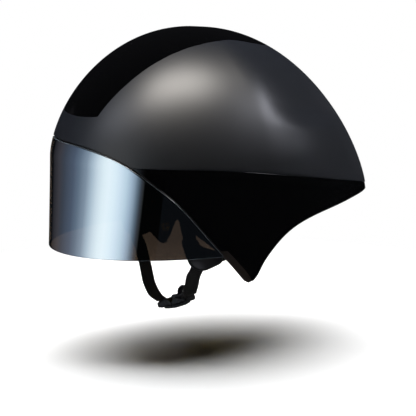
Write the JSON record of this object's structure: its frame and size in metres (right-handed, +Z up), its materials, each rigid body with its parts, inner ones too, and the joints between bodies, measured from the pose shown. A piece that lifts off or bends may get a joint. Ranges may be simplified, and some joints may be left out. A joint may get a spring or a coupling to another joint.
{
  "type": "time trial helmet",
  "caption": "Streamlined cycling helmet with a short pointed tail, deep ear flaps, a pull-off magnetic visor, foam liner, dial fit system and chin strap with a buckle.",
  "frame": {"origin": "middle of the head hollow at the level of its size line, where the head seat is", "axes": "+Z up, -Y forward to the visor, +Y back to the tail, +X to the wearer's left"},
  "size_m": [0.213, 0.3396, 0.2658],
  "materials": {
    "shell_gloss": "gloss and matte black paint on a fibre-reinforced shell",
    "black_plastic": "satin moulded black",
    "magnet_steel": "nickel plated",
    "keeper_steel": "plated",
    "lens_clear": "clear polycarbonate with a grey mirror tint",
    "foam": "black moulded beads",
    "slip_yellow": "smooth low-friction sheet",
    "rubber_black": "matte",
    "pad_cloth": "brushed knit over soft foam",
    "strip_olive": "woven",
    "webbing": "woven polyester webbing",
    "buckle_plastic": "satin moulded black",
    "pin_steel": "plain",
    "gear_plastic": "self-lubricating"
  },
  "bodies": {
    "helmet": {"upper_shell": "shell_gloss", "lower_shell": "shell_gloss", "visor_frame": "black_plastic", "frame_magnets": "magnet_steel", "foam_liner": "foam", "slip_layer": "slip_yellow", "slip_anchors": "rubber_black", "brow_pad": "pad_cloth", "side_pad_left": "pad_cloth", "side_pad_right": "pad_cloth", "crown_pad_left": "pad_cloth", "crown_pad_right": "pad_cloth", "flap_strip_left": "strip_olive", "flap_strip_right": "strip_olive", "strap_anchors": "black_plastic", "front_strap_left": "webbing", "front_strap_right": "webbing", "rear_strap_left": "webbing", "rear_strap_right": "webbing", "strap_divider_left": "buckle_plastic", "strap_divider_right": "buckle_plastic", "chin_strap_left": "webbing", "chin_strap_right": "webbing", "chin_loop_right": "webbing", "buckle_base": "buckle_plastic", "height_rail": "black_plastic", "rail_pins": "pin_steel", "temple_clip_left": "black_plastic", "temple_clip_right": "black_plastic"},
    "visor": {"visor_lens": "lens_clear", "lens_keepers": "keeper_steel"},
    "buckle_tab": {"buckle_slider": "buckle_plastic", "chin_loop_left": "webbing", "lever_pin": "pin_steel"},
    "cam_lever": {"buckle_lever": "buckle_plastic"},
    "fit_unit": {"dial_housing": "black_plastic", "dial_cover": "black_plastic", "nape_pad": "pad_cloth"},
    "dial": {"dial_knob": "rubber_black", "dial_pinion": "gear_plastic"},
    "band_left": {"fit_band_left": "black_plastic"},
    "band_right": {"fit_band_right": "black_plastic"}
  },
  "joints": [
    {"name": "visor_pull", "type": "slide", "parent": "helmet", "child": "visor", "axis": [0, -1, 0], "range_m": [0, 0.13]},
    {"name": "buckle_slide", "type": "slide", "parent": "helmet", "child": "buckle_tab", "axis": [-0.4148, 0.9099, 0], "range_m": [0, 0.017]},
    {"name": "lever_flip", "type": "hinge", "parent": "buckle_tab", "child": "cam_lever", "pos_m": [0.03356, -0.02813, -0.13305], "axis": [0.4148, -0.9099, 0], "range_deg": [0, 40]},
    {"name": "fit_height", "type": "slide", "parent": "helmet", "child": "fit_unit", "axis": [0, 0.4695, 0.8829], "range_m": [-0.008, 0.008]},
    {"name": "dial_turn", "type": "hinge", "parent": "fit_unit", "child": "dial", "pos_m": [0, 0.084, -0.05], "axis": [0, 0.8829, -0.4695], "range_deg": [-90, 90]},
    {"name": "band_left_wrap", "type": "hinge", "parent": "fit_unit", "child": "band_left", "pos_m": [0, 0.02043, -0.0162], "axis": [0, 0.4695, 0.8829], "range_deg": [-7.52, 7.52]},
    {"name": "band_right_wrap", "type": "hinge", "parent": "fit_unit", "child": "band_right", "pos_m": [0, 0.02043, -0.0162], "axis": [0, 0.4695, 0.8829], "range_deg": [-7.52, 7.52]}
  ],
  "couplings": [
    {"joint": "band_left_wrap", "follows": "dial_turn", "ratio": -0.083333},
    {"joint": "band_right_wrap", "follows": "dial_turn", "ratio": 0.083333}
  ]
}
